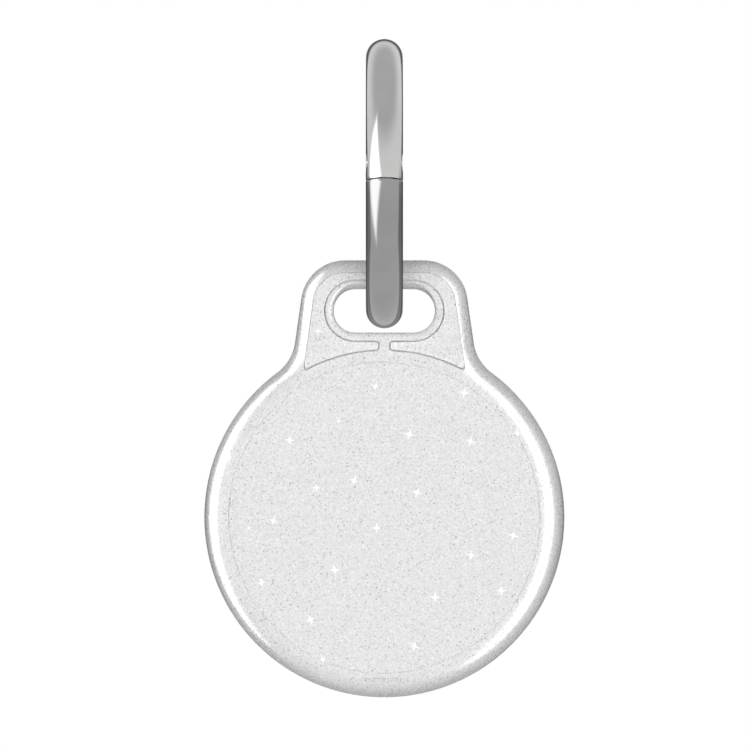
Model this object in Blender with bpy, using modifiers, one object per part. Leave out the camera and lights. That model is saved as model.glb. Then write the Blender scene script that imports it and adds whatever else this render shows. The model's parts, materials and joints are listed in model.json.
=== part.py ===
"""Bluetooth tracker tag: a round tracker in a twist-lock case that hangs from a spring-gate ring.

Units are metres, +Z is up and the case's front faces -Y. The origin is the hang point, the top of
the ring's inner side. Run with: blender --background --python part.py
"""

from math import atan2, cos, hypot, pi, radians, sin, sqrt

import bmesh
import bpy
from mathutils import Matrix, Vector

MM = 0.001

# Ring
WIRE_R = 2.16 * MM
RING_MEAN_R = 14.74 * MM
RING_INNER_R = RING_MEAN_R - WIRE_R
RING_CENTRE_Z = -RING_INNER_R
PIN_ANGLE = radians(8.7)
PIN_R = 0.6 * MM
PIN_BORE_R = 0.66 * MM
KNUCKLE_R = 2.1 * MM
SHOULDER_DISTANCE = 2.26 * MM
SHOULDER_TILT = radians(10.8)
GATE_END_ANGLE = radians(100)
GATE_GAP = 0.24 * MM
GATE_END_HALF_ANGLE = radians(13)
HINGE_CUT_HALF = 4 * MM
TONGUE_R = 1.35 * MM
TONGUE_SLOT_R = 1.6 * MM
TONGUE_HALF = 0.65 * MM
TONGUE_SLOT_HALF = 0.85 * MM
TONGUE_ROOT = 0.8 * MM
PIN_SHORT = 0.06 * MM
SPRING_BORE_R = 0.8 * MM
SPRING_BORE_START = radians(12)
SPRING_BORE_END = radians(30.5)
SPRING_COIL_R = 0.52 * MM
SPRING_WIRE_R = 0.11 * MM
SPRING_START = radians(15.8)
SPRING_END = radians(29.5)
SPRING_TURNS = 5

# Case
CASE_R = 21.0 * MM
CASE_HALF = 5.4 * MM
EDGE_ROUND = 2.9 * MM
CASE_BELOW_RING = 38.93 * MM
CASE_Z = RING_CENTRE_Z - CASE_BELOW_RING
TAB_CORNER_X = 4.59 * MM
TAB_CORNER_Z = 24.82 * MM
TAB_CORNER_R = 5.14 * MM
TAB_FLARE = radians(8.1)
TAB_FILLET_R = 5.25 * MM
TAB_TOP_Z = TAB_CORNER_Z + TAB_CORNER_R
TAPER_START_Z = 18.1 * MM
TAPER_TOP_HALF = 3.8 * MM
SLOT_Z = 24.07 * MM
SLOT_HALF_W = 5.92 * MM
SLOT_HALF_H = 2.54 * MM
SLOT_RIM = 0.93 * MM
SLOT_FLARE = 0.75 * MM
RECESS_DEPTH = 0.42 * MM
RECESS_INSET = 1.3 * MM
RECESS_ARC_R = 19.4 * MM
BRIDGE_HALF = 0.54 * MM

# Case interior, and the rear cap's twist lock
CAVITY_R = 16.15 * MM
CAVITY_FRONT_Y = -4.2 * MM
CAP_LEDGE_Y = 2.3 * MM
CAP_BORE_R = 17.55 * MM
CAP_R = 17.3 * MM
CAP_PLATE = 1.25 * MM
CAP_SKIRT_FRONT_Y = 3.45 * MM
CAP_SKIRT_INNER_R = 16.0 * MM
LUG_R = 18.15 * MM
LUG_FRONT_Y = 3.6 * MM
LUG_REAR_Y = 4.4 * MM
LUG_HALF_ANGLE = radians(9)
LUG_COUNT = 3
CAP_TWIST = radians(60)
GROOVE_R = 18.4 * MM
GROOVE_CLEARANCE = 0.2 * MM
SEAL_R = 16.9 * MM
SEAL_SECTION_R = 0.48 * MM
GRIP_R = 5.0 * MM
GRIP_OFFSET = 9.5 * MM
GRIP_DEPTH = 0.5 * MM

# Tracker
TRACKER_R = 15.95 * MM
DOME_FRONT_Y = -4.08 * MM
DOME_WALL = 1.0 * MM
DOME_REAR_Y = 3.0 * MM
FRAME_OUTER_R = 14.7 * MM
FRAME_INNER_R = 6.3 * MM
BOARD_OUTER_R = 13.8 * MM
BOARD_INNER_R = 6.7 * MM
BOARD_FRONT_Y = -1.95 * MM
BOARD_REAR_Y = -1.35 * MM
BATTERY_R = 10.0 * MM
BATTERY_FRONT_Y = 0.15 * MM
BATTERY_REAR_Y = 3.15 * MM
COVER_R = 14.6 * MM
COVER_FRONT_Y = 3.3 * MM
COVER_REAR_Y = 3.9 * MM
HOOK_R = (11.6 * MM, 12.6 * MM, 13.7 * MM)
HOOK_Y = (2.0 * MM, 2.5 * MM)
HOOK_HALF_ANGLE = radians(7)
FRAME_WALL = 0.7 * MM
FRAME_FLOOR_FRONT_Y = -1.15 * MM
FRAME_FLOOR_REAR_Y = -0.55 * MM
ANTENNA_R = (13.95 * MM, 14.2 * MM)
ANTENNA_Y = (-2.2 * MM, -1.25 * MM)
ANTENNA_GAP_HALF = 1.0 * MM
COIL_R = (4.0 * MM, 4.6 * MM)
COIL_Y = (-2.98 * MM, -1.7 * MM)
MAGNET_R = 3.4 * MM
MAGNET_Y = (-2.5 * MM, -0.66 * MM)
YOKE_R = (5.1 * MM, 5.7 * MM)
YOKE_Y = (-2.5 * MM, -0.56 * MM, -0.1 * MM)
BATTERY_WALL = 0.25 * MM
BATTERY_GAP = 0.08 * MM
BATTERY_SEAL = 0.4 * MM

# Facets of round shapes
RING_SIDES = 56
ROUND = 48
SMALL_ROUND = 40

PIN = (RING_MEAN_R * cos(PIN_ANGLE), RING_MEAN_R * sin(PIN_ANGLE))
GATE_END = (RING_MEAN_R * cos(GATE_END_ANGLE), RING_MEAN_R * sin(GATE_END_ANGLE))
GATE_LENGTH = hypot(GATE_END[0] - PIN[0], GATE_END[1] - PIN[1])
GATE_LEAN = atan2(GATE_END[1] - PIN[1], GATE_END[0] - PIN[0])


# ---------------------------------------------------------------- scene and materials

def clear_scene():
    for item in list(bpy.data.objects):
        bpy.data.objects.remove(item, do_unlink=True)


def new_collection(name):
    group = bpy.data.collections.new(name)
    bpy.context.scene.collection.children.link(group)
    return group


def material(name, colour, roughness, metallic=0.0):
    made = bpy.data.materials.new(name)
    made.use_nodes = True
    shader = made.node_tree.nodes["Principled BSDF"]
    shader.inputs["Base Color"].default_value = (*colour, 1.0)
    shader.inputs["Roughness"].default_value = roughness
    shader.inputs["Metallic"].default_value = metallic
    made.diffuse_color = (*colour, 1.0)
    return made


clear_scene()
PARTS = new_collection("tracker_tag")
CUTTERS = new_collection("cutters")

MATERIALS = {
    "chrome": material("chrome", (0.72, 0.72, 0.72), 0.12, 1.0),
    "steel": material("steel", (0.62, 0.61, 0.58), 0.28, 1.0),
    "glitter": material("glitter", (0.82, 0.82, 0.81), 0.32),
    "white": material("white", (0.85, 0.85, 0.84), 0.25),
    "dark": material("dark", (0.06, 0.06, 0.065), 0.45),
    "frame": material("frame", (0.12, 0.12, 0.13), 0.5),
    "board": material("board", (0.02, 0.09, 0.05), 0.45),
    "copper": material("copper", (0.7, 0.36, 0.2), 0.35, 1.0),
    "magnet": material("magnet", (0.5, 0.5, 0.5), 0.3, 1.0),
    "rubber": material("rubber", (0.05, 0.05, 0.05), 0.7),
    "lithium": material("lithium", (0.6, 0.6, 0.62), 0.5, 1.0),
    "cathode": material("cathode", (0.03, 0.03, 0.03), 0.9),
    "paper": material("paper", (0.8, 0.79, 0.75), 0.8),
}


# ---------------------------------------------------------------- modelling helpers

def place(item, group):
    for owner in list(item.users_collection):
        owner.objects.unlink(item)
    group.objects.link(item)


def solid(item, name):
    """The evaluated object as one welded mesh object in the cutters' collection, facing out."""
    bpy.context.view_layer.update()
    evaluated = item.evaluated_get(bpy.context.evaluated_depsgraph_get())
    mesh = bpy.data.meshes.new_from_object(evaluated)
    mesh.transform(item.matrix_world)
    bpy.data.objects.remove(item, do_unlink=True)
    work = bmesh.new()
    work.from_mesh(mesh)
    bmesh.ops.remove_doubles(work, verts=work.verts, dist=1e-7)
    bmesh.ops.recalc_face_normals(work, faces=work.faces)
    work.to_mesh(mesh)
    work.free()
    made = bpy.data.objects.new(name, mesh)
    CUTTERS.objects.link(made)
    made.hide_render = True
    made.display_type = "WIRE"
    return made


def boolean(target, tool, operation="DIFFERENCE"):
    """Cut, join or intersect target with tool, which is used up."""
    modifier = target.modifiers.new(operation.lower(), "BOOLEAN")
    modifier.operation = operation
    modifier.solver = "EXACT"
    modifier.object = tool
    name = target.name
    target.name = name + "_before"
    made = solid(target, name)
    bpy.data.objects.remove(tool, do_unlink=True)
    return made


def part(item, name, finish, origin, parent=None, sharp=35):
    """Turn a working solid into a named sub-part with its origin at origin and its own material."""
    item.data.transform(Matrix.Translation(-Vector(origin)))
    item.name = name
    item.data.name = name
    item.data.materials.clear()
    item.data.materials.append(MATERIALS[finish])
    item.data.shade_smooth()
    item.data.set_sharp_from_angle(angle=radians(sharp))
    item.hide_render = False
    item.display_type = "TEXTURED"
    place(item, PARTS)
    item.location = origin
    if parent:
        bpy.context.view_layer.update()
        item.parent = parent
        item.matrix_parent_inverse = parent.matrix_world.inverted()
    return item


def empty(name, location, parent=None):
    made = bpy.data.objects.new(name, None)
    made.location = location
    made.empty_display_size = 5 * MM
    PARTS.objects.link(made)
    bpy.context.view_layer.update()
    if parent:
        made.parent = parent
        made.matrix_parent_inverse = parent.matrix_world.inverted()
    return made


def flat_curve(points, half, rounding=0.0, steps=3):
    """A filled outline curve in the XY plane, half thick each way, its edges rounded inwards."""
    data = bpy.data.curves.new("outline", "CURVE")
    data.dimensions = "2D"
    data.fill_mode = "BOTH"
    data.extrude = half - rounding
    data.bevel_depth = rounding
    data.bevel_resolution = steps
    data.offset = -rounding
    spline = data.splines.new("POLY")
    spline.points.add(len(points) - 1)
    for point, (across, up) in zip(spline.points, points):
        point.co = (across, up, 0, 1)
    spline.use_cyclic_u = True
    item = bpy.data.objects.new("outline", data)
    CUTTERS.objects.link(item)
    return item


def front_prism(name, points, low_y, high_y, rounding=0.0, steps=3):
    """A prism of an (x, z) outline of the case, from low_y to high_y."""
    item = flat_curve(points, (high_y - low_y) / 2, rounding, steps)
    item.matrix_world = (Matrix.Translation((0, (low_y + high_y) / 2, CASE_Z))
                         @ Matrix.Rotation(pi / 2, 4, "X"))
    return solid(item, name)


def side_prism(name, points, half):
    """A prism of a ring outline, whose points are (towards the front, up) from the ring's centre."""
    item = flat_curve([(-front, up) for front, up in points], half)
    turn = Matrix(((0, 0, 1, 0), (1, 0, 0, 0), (0, 1, 0, 0), (0, 0, 0, 1)))
    item.matrix_world = Matrix.Translation((0, 0, RING_CENTRE_Z)) @ turn
    return solid(item, name)


def turned(name, profile, closed=True, sides=ROUND, centre=(0.0, 0.0)):
    """A profile of (radius, y) points turned about the case's own axis, or about (x, z) centre."""
    mesh = bpy.data.meshes.new(name + "_profile")
    edges = [(i, i + 1) for i in range(len(profile) - 1)]
    if closed:
        edges.append((len(profile) - 1, 0))
    mesh.from_pydata([(r, 0, -y) for r, y in profile], edges, [])
    item = bpy.data.objects.new(name + "_profile", mesh)
    CUTTERS.objects.link(item)
    screw = item.modifiers.new("turn", "SCREW")
    screw.steps = sides
    screw.render_steps = sides
    screw.use_merge_vertices = True
    screw.merge_threshold = 1e-6
    item.matrix_world = (Matrix.Translation((centre[0], 0, CASE_Z + centre[1]))
                         @ Matrix.Rotation(pi / 2, 4, "X"))
    return solid(item, name)


def disc(name, radius, low_y, high_y, sides=ROUND, centre=(0.0, 0.0)):
    profile = [(0, low_y), (radius, low_y), (radius, high_y), (0, high_y)]
    return turned(name, profile, closed=False, sides=sides, centre=centre)


def washer(name, inner, outer, low_y, high_y, sides=ROUND, centre=(0.0, 0.0)):
    profile = [(outer, low_y), (outer, high_y), (inner, high_y), (inner, low_y)]
    return turned(name, profile, sides=sides, centre=centre)


def pin_along_x(name, radius, half, front, up, sides=24):
    """A round bar along X at (front, up) from the ring's centre."""
    bpy.ops.mesh.primitive_cylinder_add(vertices=sides, radius=radius, depth=2 * half,
                                        location=(0, -front, RING_CENTRE_Z + up),
                                        rotation=(0, pi / 2, 0))
    return solid(bpy.context.object, name)


def arc(centre, radius, start, end, steps):
    """Points on an arc, from start to end in radians, both ends included."""
    points = []
    for i in range(steps + 1):
        angle = start + (end - start) * i / steps
        points.append((centre[0] + radius * cos(angle), centre[1] + radius * sin(angle)))
    return points


def sector(inner, outer, middle, half, steps=6):
    """An arc-shaped outline around the case's axis."""
    return (arc((0, 0), outer, middle - half, middle + half, steps)
            + arc((0, 0), inner, middle + half, middle - half, steps))


def stadium(half_w, half_h, centre_z, steps=10):
    flat = half_w - half_h
    return (arc((flat, centre_z), half_h, -pi / 2, pi / 2, steps)
            + arc((-flat, centre_z), half_h, pi / 2, 3 * pi / 2, steps))


def loft(name, sections):
    """A closed solid through sections, each a y and its (x, z) outline, all of the same length."""
    work = bmesh.new()
    rings = []
    for y, outline in sections:
        rings.append([work.verts.new((x, y, CASE_Z + z)) for x, z in outline])
    count = len(rings[0])
    for low, high in zip(rings, rings[1:]):
        for i in range(count):
            j = (i + 1) % count
            work.faces.new((low[i], low[j], high[j], high[i]))
    work.faces.new(rings[0])
    work.faces.new(rings[-1])
    mesh = bpy.data.meshes.new(name)
    work.to_mesh(mesh)
    work.free()
    item = bpy.data.objects.new(name + "_loft", mesh)
    CUTTERS.objects.link(item)
    return solid(item, name)


# ---------------------------------------------------------------- ring, gate and hinge

def ring_torus(name):
    bpy.ops.mesh.primitive_torus_add(major_segments=RING_SIDES, minor_segments=12,
                                     major_radius=RING_MEAN_R, minor_radius=WIRE_R,
                                     location=(0, 0, RING_CENTRE_Z), rotation=(0, pi / 2, 0))
    return solid(bpy.context.object, name)


def gate_outline(knuckle, length):
    """The gate's region of the ring: a round knuckle at the pin, and an end that swings about it."""
    along = (cos(SHOULDER_TILT), sin(SHOULDER_TILT))
    down = (sin(SHOULDER_TILT), -cos(SHOULDER_TILT))
    touch = (PIN[0] + knuckle * down[0], PIN[1] + knuckle * down[1])
    reach = 4 * MM
    outer = (touch[0] + reach * along[0], touch[1] + reach * along[1])
    points = [outer]
    points += arc(PIN, knuckle, atan2(down[1], down[0]), -pi, 8)
    points.append((6 * MM, 4 * MM))
    points += arc(PIN, length, GATE_LEAN + GATE_END_HALF_ANGLE, GATE_LEAN - GATE_END_HALF_ANGLE, 6)
    points.append((outer[0], 16 * MM))
    return points


def tongue_slot_outline():
    reach = 7 * MM
    depth = 4 * MM
    points = arc(PIN, TONGUE_SLOT_R, 0, pi, 12)
    points += [(PIN[0] - reach, PIN[1]), (PIN[0] - reach, PIN[1] - depth)]
    points.append((PIN[0] + TONGUE_SLOT_R, PIN[1] - depth))
    return points


def tongue_outline():
    root = PIN[1] - SHOULDER_DISTANCE - TONGUE_ROOT
    points = arc(PIN, TONGUE_R, radians(-20), pi, 14)
    points += [(PIN[0] - TONGUE_R, root), (PIN[0] + TONGUE_R * cos(radians(20)), root)]
    return points


def arc_tube(name, radius, start, end):
    """A tube along the ring's own arc."""
    data = bpy.data.curves.new(name, "CURVE")
    data.dimensions = "3D"
    data.bevel_depth = radius
    data.bevel_resolution = 4
    data.use_fill_caps = True
    points = arc((0, 0), RING_MEAN_R, start, end, 8)
    spline = data.splines.new("POLY")
    spline.points.add(len(points) - 1)
    for point, (front, up) in zip(spline.points, points):
        point.co = (0, -front, RING_CENTRE_Z + up, 1)
    item = bpy.data.objects.new(name + "_curve", data)
    CUTTERS.objects.link(item)
    return solid(item, name)


def spring_coil(name):
    """A coil spring wound round the ring's arc."""
    per_turn = 8
    data = bpy.data.curves.new(name, "CURVE")
    data.dimensions = "3D"
    data.bevel_depth = SPRING_WIRE_R
    data.bevel_resolution = 1
    data.use_fill_caps = True
    count = SPRING_TURNS * per_turn + 1
    spline = data.splines.new("POLY")
    spline.points.add(count - 1)
    for i, point in enumerate(spline.points):
        along = SPRING_START + (SPRING_END - SPRING_START) * i / (count - 1)
        turn = 2 * pi * i / per_turn
        reach = RING_MEAN_R + SPRING_COIL_R * cos(turn)
        point.co = (SPRING_COIL_R * sin(turn), -reach * cos(along),
                    RING_CENTRE_Z + reach * sin(along), 1)
    item = bpy.data.objects.new(name + "_curve", data)
    CUTTERS.objects.link(item)
    return solid(item, name)


def build_ring():
    body = ring_torus("ring_body")
    opening = gate_outline(SHOULDER_DISTANCE, GATE_LENGTH + GATE_GAP / 2)
    body = boolean(body, side_prism("opening", opening, HINGE_CUT_HALF))
    body = boolean(body, side_prism("tongue", tongue_outline(), TONGUE_HALF), "UNION")
    body = boolean(body, pin_along_x("pin_bore", PIN_BORE_R, HINGE_CUT_HALF, *PIN))
    part(body, "ring_body", "chrome", (0, 0, 0))

    hinge = (0, -PIN[0], RING_CENTRE_Z + PIN[1])
    gate = ring_torus("ring_gate")
    region = gate_outline(KNUCKLE_R, GATE_LENGTH - GATE_GAP / 2)
    gate = boolean(gate, side_prism("region", region, HINGE_CUT_HALF), "INTERSECT")
    gate = boolean(gate, side_prism("slot", tongue_slot_outline(), TONGUE_SLOT_HALF))
    bore = arc_tube("spring_bore", SPRING_BORE_R, SPRING_BORE_START, SPRING_BORE_END)
    gate = boolean(gate, bore)
    gate = boolean(gate, pin_along_x("pin_bore", PIN_BORE_R, HINGE_CUT_HALF, *PIN))
    gate_axis = empty("gate_axis", hinge)
    part(gate, "ring_gate", "chrome", hinge, gate_axis)
    part(spring_coil("gate_spring"), "gate_spring", "steel", hinge, gate_axis)
    pin = pin_along_x("gate_pin", PIN_R, WIRE_R - PIN_SHORT, *PIN)
    part(pin, "gate_pin", "steel", hinge)


# ---------------------------------------------------------------- case

def case_outline():
    """The front silhouette: a round body that runs into a tab through concave fillets."""
    normal = (cos(TAB_FLARE), sin(TAB_FLARE))
    along = (sin(TAB_FLARE), -cos(TAB_FLARE))
    line = TAB_CORNER_X * normal[0] + TAB_CORNER_Z * normal[1] + TAB_CORNER_R + TAB_FILLET_R
    reach = CASE_R + TAB_FILLET_R
    run = -sqrt(reach ** 2 - line ** 2)
    fillet = (line * normal[0] + run * along[0], line * normal[1] + run * along[1])
    meet = atan2(fillet[1], fillet[0])
    right = arc((TAB_CORNER_X, TAB_CORNER_Z), TAB_CORNER_R, pi / 2, TAB_FLARE, 8)
    right += arc(fillet, TAB_FILLET_R, pi + TAB_FLARE, pi + meet, 5)
    body = arc((0, 0), CASE_R, meet, -pi / 2, 26)
    right += body[1:]
    left = [(-x, z) for x, z in reversed(right[:-1])]
    return right + left


def recess_outline():
    """The recess round the slot's rim, from the arc above the disc to just past the tab's top."""
    normal = (cos(TAB_FLARE), sin(TAB_FLARE))
    along = (sin(TAB_FLARE), -cos(TAB_FLARE))
    line = TAB_CORNER_X * normal[0] + TAB_CORNER_Z * normal[1] + TAB_CORNER_R - RECESS_INSET
    run = -sqrt(RECESS_ARC_R ** 2 - line ** 2)
    tip = (line * normal[0] + run * along[0], line * normal[1] + run * along[1])
    start = atan2(tip[1], tip[0])
    points = arc((0, 0), RECESS_ARC_R, start, pi - start, 16)
    corner = (TAB_CORNER_X, TAB_CORNER_Z)
    radius = TAB_CORNER_R - RECESS_INSET
    left = arc(corner, radius, TAB_FLARE, pi / 2, 6)
    points += [(-x, z) for x, z in left]
    points += reversed(left)
    return points


def recess_cutter():
    bottom = -CASE_HALF + RECESS_DEPTH
    cutter = front_prism("recess", recess_outline(), -CASE_HALF - MM, bottom)
    rim = stadium(SLOT_HALF_W + SLOT_RIM, SLOT_HALF_H + SLOT_RIM, SLOT_Z)
    cutter = boolean(cutter, front_prism("rim", rim, -CASE_HALF - 2 * MM, bottom + MM))
    low = RECESS_ARC_R - 2 * MM
    bridge = [(BRIDGE_HALF, low), (BRIDGE_HALF, SLOT_Z), (-BRIDGE_HALF, SLOT_Z), (-BRIDGE_HALF, low)]
    return boolean(cutter, front_prism("bridge", bridge, -CASE_HALF - 2 * MM, bottom + MM))


def slot_cutter():
    """The ring's slot: its wall is convex, so that the tab's bar rests in the round of the ring."""
    steps = 10
    sections = []
    for i in range(steps + 1):
        angle = -pi / 2 + pi * i / steps
        flare = SLOT_FLARE * (1 - cos(angle))
        outline = stadium(SLOT_HALF_W + flare, SLOT_HALF_H + flare, SLOT_Z)
        sections.append((CASE_HALF * sin(angle), outline))
    for y in (-CASE_HALF - MM, CASE_HALF + MM):
        outline = stadium(SLOT_HALF_W + SLOT_FLARE, SLOT_HALF_H + SLOT_FLARE, SLOT_Z)
        sections.append((y, outline))
    sections.sort(key=lambda section: section[0])
    return loft("slot", sections)


def taper_tab(item):
    """Thin the tab towards its top, evenly from the disc's edge up."""
    mesh = item.data
    work = bmesh.new()
    work.from_mesh(mesh)
    everything = work.verts[:] + work.edges[:] + work.faces[:]
    bmesh.ops.bisect_plane(work, geom=everything, dist=1e-7, plane_no=(0, 0, 1),
                           plane_co=(0, 0, CASE_Z + TAPER_START_Z))
    bmesh.ops.triangulate(work, faces=work.faces)
    rise = TAB_TOP_Z - TAPER_START_Z
    for vert in work.verts:
        above = max(0.0, vert.co.z - CASE_Z - TAPER_START_Z) / rise
        vert.co.y *= 1 - above * (1 - TAPER_TOP_HALF / CASE_HALF)
    work.to_mesh(mesh)
    work.free()


def lug_angles():
    return [pi / 2 + 2 * pi * i / LUG_COUNT for i in range(LUG_COUNT)]


def cut_twist_lock(shell):
    """The stepped bore for the rear cap, with a groove and an entry slot for each lug."""
    bore = disc("cap_bore", CAP_BORE_R, CAP_LEDGE_Y, CASE_HALF + MM, sides=60)
    shell = boolean(shell, bore)
    inner = CAP_BORE_R - 0.8 * MM
    spare = radians(1.2)
    for middle in lug_angles():
        half = LUG_HALF_ANGLE + CAP_TWIST / 2 + spare
        groove = sector(inner, GROOVE_R, middle + CAP_TWIST / 2, half, 14)
        cutter = front_prism("groove", groove, LUG_FRONT_Y - GROOVE_CLEARANCE,
                             LUG_REAR_Y + GROOVE_CLEARANCE)
        entry = sector(inner - 0.3 * MM, GROOVE_R - 0.1 * MM, middle + CAP_TWIST,
                       LUG_HALF_ANGLE + spare / 2, 5)
        mouth = front_prism("entry", entry, LUG_FRONT_Y, CASE_HALF + MM)
        shell = boolean(shell, boolean(cutter, mouth, "UNION"))
    return shell


def build_case(swing):
    shell = front_prism("front_shell", case_outline(), -CASE_HALF, CASE_HALF, EDGE_ROUND, 3)
    shell = boolean(shell, recess_cutter())
    shell = boolean(shell, slot_cutter())
    taper_tab(shell)
    shell = boolean(shell, disc("cavity", CAVITY_R, CAVITY_FRONT_Y, CASE_HALF + MM))
    shell = cut_twist_lock(shell)
    part(shell, "front_shell", "glitter", (0, 0, CASE_Z), swing, 25)

    cap = build_cap()
    cap_axis = empty("cap_axis", (0, 0, CASE_Z), swing)
    part(cap, "rear_cap", "glitter", (0, 0, CASE_Z), cap_axis)
    section = arc((SEAL_R, CAP_LEDGE_Y + SEAL_SECTION_R + 0.08 * MM), SEAL_SECTION_R, pi / 2,
                  -3 * pi / 2, 7)[:-1]
    part(turned("cap_seal", section), "cap_seal", "rubber", (0, 0, CASE_Z), swing)


def build_cap():
    rear = CASE_HALF
    plate_front = rear - CAP_PLATE
    chamfer = 0.35 * MM
    profile = [(0, plate_front), (CAP_SKIRT_INNER_R, plate_front)]
    profile += [(CAP_SKIRT_INNER_R, CAP_SKIRT_FRONT_Y), (CAP_R, CAP_SKIRT_FRONT_Y)]
    profile += [(CAP_R, rear - chamfer), (CAP_R - chamfer, rear), (0, rear)]
    cap = turned("rear_cap", profile, closed=False, sides=60)
    for middle in lug_angles():
        lug = sector(CAP_R - 0.6 * MM, LUG_R, middle, LUG_HALF_ANGLE, 4)
        cap = boolean(cap, front_prism("lug", lug, LUG_FRONT_Y, LUG_REAR_Y), "UNION")
    for side in (-1, 1):
        thumb = []
        for x, z in stadium(GRIP_R, GRIP_R / 2, 0):
            thumb.append((z + side * GRIP_OFFSET, x))
        low = rear - GRIP_DEPTH
        cap = boolean(cap, front_prism("thumb", thumb, low, rear + MM))
    return cap


# ---------------------------------------------------------------- tracker

def build_tracker(swing):
    centre = (0, 0, CASE_Z)

    def add(item, finish, parent=swing):
        return part(item, item.name, finish, centre, parent)

    add(tracker_cover(), "white")
    add(tracker_frame(), "frame")
    antenna = washer("antenna_loop", *ANTENNA_R, *ANTENNA_Y)
    low, high = -ANTENNA_R[1] - MM, -ANTENNA_R[0] + MM
    gap = [(-ANTENNA_GAP_HALF, low), (ANTENNA_GAP_HALF, low), (ANTENNA_GAP_HALF, high),
           (-ANTENNA_GAP_HALF, high)]
    cutter = front_prism("gap", gap, ANTENNA_Y[0] - MM, ANTENNA_Y[1] + MM)
    add(boolean(antenna, cutter), "copper")
    add(washer("logic_board", BOARD_INNER_R, BOARD_OUTER_R, BOARD_FRONT_Y, BOARD_REAR_Y, 48), "board")
    build_chips(add)
    build_contacts(add)
    add(washer("voice_coil", *COIL_R, *COIL_Y, SMALL_ROUND), "copper")
    add(disc("speaker_magnet", MAGNET_R, *MAGNET_Y, SMALL_ROUND), "magnet")
    add(speaker_yoke(), "steel")
    build_battery(add)
    cover_axis = empty("cover_axis", centre, swing)
    add(battery_cover(), "steel", cover_axis)


def speaker_yoke():
    """The magnet's steel cup: a floor with a wall round it."""
    bore, outer = YOKE_R
    front, floor, rear = YOKE_Y
    profile = [(0, floor), (bore, floor), (bore, front), (outer, front), (outer, rear), (0, rear)]
    return turned("speaker_yoke", profile, closed=False, sides=SMALL_ROUND)


def tracker_cover():
    """The white cup of the tracker: its face is slightly domed and its edge rounded."""
    sag = 0.25 * MM
    corner = 1.6 * MM
    front = DOME_FRONT_Y
    dome_r = (TRACKER_R - corner) ** 2 / (2 * sag)
    profile = []
    for i in range(5):
        r = (TRACKER_R - corner) * i / 4
        profile.append((r, front + r * r / (2 * dome_r)))
    edge = arc((TRACKER_R - corner, front + sag + corner), corner, -pi / 2, 0, 5)
    profile += edge[1:]
    inner = TRACKER_R - DOME_WALL
    profile += [(TRACKER_R, DOME_REAR_Y), (inner, DOME_REAR_Y), (inner, front + DOME_WALL + corner)]
    profile += [(inner - 0.9 * MM, front + DOME_WALL + 0.2 * MM), (0, front + DOME_WALL)]
    return turned("tracker_cover", profile, closed=False, sides=52)


def tracker_frame():
    """A dished carrier: a floor behind the board, a wall round it, and a seat for the battery."""
    front, rear = FRAME_FLOOR_FRONT_Y, FRAME_FLOOR_REAR_Y
    rim = COVER_FRONT_Y - 0.1 * MM
    inner = FRAME_OUTER_R - FRAME_WALL
    profile = [(FRAME_INNER_R, front), (FRAME_OUTER_R, front), (FRAME_OUTER_R, rim), (inner, rim)]
    profile += [(inner, rear), (FRAME_INNER_R, rear)]
    frame = turned("tracker_frame", profile)
    for i in range(3):
        angle = radians(90 + 120 * i)
        tab = sector(FRAME_OUTER_R - 3.4 * MM, FRAME_OUTER_R - 0.3 * MM, angle, radians(7), 3)
        rib = front_prism("rib", tab, rear - 0.3 * MM, COVER_FRONT_Y - 0.6 * MM)
        frame = boolean(frame, rib, "UNION")
    for angle in bayonet_angles():
        ledge = sector(HOOK_R[1] + 0.3 * MM, FRAME_OUTER_R - FRAME_WALL / 2, angle, radians(8), 4)
        catch = front_prism("catch", ledge, HOOK_Y[1] + 0.15 * MM, COVER_FRONT_Y - 0.2 * MM)
        frame = boolean(frame, catch, "UNION")
    return frame


def bayonet_angles():
    return [radians(30 + 120 * i) for i in range(3)]


def build_chips(add):
    """Components on the board's front face: width and height in mm, thickness, and the angle."""
    rear = BOARD_FRONT_Y - 0.08 * MM
    chips = (("radio_chip", 3.4, 3.4, 0.62, 60, "dark"), ("ranging_chip", 3.0, 3.6, 0.55, 160, "steel"),
             ("memory_chip", 2.0, 3.0, 0.5, 215, "dark"), ("power_inductor", 2.0, 1.6, 0.7, 285, "frame"),
             ("clock_crystal", 1.6, 1.2, 0.4, 330, "magnet"))
    mean = (BOARD_INNER_R + BOARD_OUTER_R) / 2
    for name, width, height, thick, angle, finish in chips:
        middle = (mean * cos(radians(angle)), mean * sin(radians(angle)))
        half_w = width * MM / 2
        half_h = height * MM / 2
        corners = [(-half_w, -half_h), (half_w, -half_h), (half_w, half_h), (-half_w, half_h)]
        outline = [(middle[0] + x, middle[1] + z) for x, z in corners]
        add(front_prism(name, outline, rear - thick * MM, rear), finish)


def build_contacts(add):
    """A leaf spring under the cell's lid, and two side contacts that touch its can."""
    half_w, half_h = 1.0 * MM, 5.6 * MM
    leaf = [(-half_w, -half_h), (half_w, -half_h), (half_w, half_h), (-half_w, half_h)]
    add(front_prism("contact_negative", leaf, 0.0, 0.1 * MM), "copper")
    for side, angle in (("right", radians(30)), ("left", radians(150))):
        outline = sector(BATTERY_R + 0.15 * MM, BATTERY_R + 0.45 * MM, angle, radians(9))
        add(front_prism("contact_positive_" + side, outline, -0.4 * MM, 2.4 * MM), "copper")


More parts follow.
